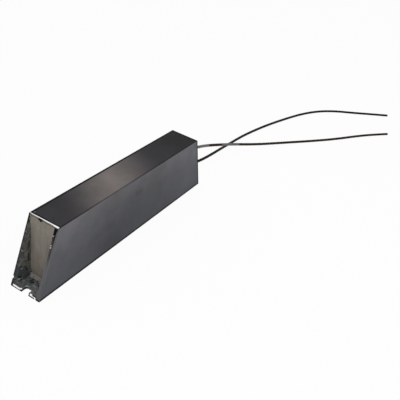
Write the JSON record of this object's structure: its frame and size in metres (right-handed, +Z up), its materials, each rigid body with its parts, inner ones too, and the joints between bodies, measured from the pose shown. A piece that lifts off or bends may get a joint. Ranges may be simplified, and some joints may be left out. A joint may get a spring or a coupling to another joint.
{
  "type": "shunt resistor",
  "caption": "Wire-wound power resistor in a slant-ended rectangular aluminium housing filled with cement, with two free leads at one end.",
  "frame": {"origin": "middle of the housing's footprint, on the surface that it stands on", "axes": "+X along the housing towards the end that the leads leave, +Y to the left of that, +Z up"},
  "size_m": [0.6052, 0.1562, 0.06],
  "materials": {
    "anodised_aluminium": "dark satin anodised",
    "beige_cement": "dull, slightly grainy",
    "brown_cement": "dull, rough",
    "grey_cement": "dull, rough",
    "mica": "thin sheet, dark and mottled with age",
    "ceramic": "unglazed",
    "resistance_alloy": "drawn ribbon",
    "nickel_strip": "rolled strip",
    "tinned_copper": "stranded, tinned",
    "lead_jacket_brown": "varnished braid, dark brown, grey in places near the body",
    "lead_jacket_grey": "varnished braid, dark grey"
  },
  "bodies": {
    "root": {"housing": "anodised_aluminium", "front_plug": "beige_cement", "rear_plug": "beige_cement", "front_cement_bead": "brown_cement", "cement_fill": "grey_cement", "left_mica_sheet": "mica", "right_mica_sheet": "mica", "series_link": "nickel_strip", "upper_lead": "lead_jacket_brown", "lower_lead": "lead_jacket_grey", "upper_former": "ceramic", "upper_winding": "resistance_alloy", "upper_front_band": "nickel_strip", "upper_rear_band": "nickel_strip", "upper_crimp": "nickel_strip", "upper_lead_tail": "tinned_copper", "lower_former": "ceramic", "lower_winding": "resistance_alloy", "lower_front_band": "nickel_strip", "lower_rear_band": "nickel_strip", "lower_crimp": "nickel_strip", "lower_lead_tail": "tinned_copper"}
  },
  "joints": []
}
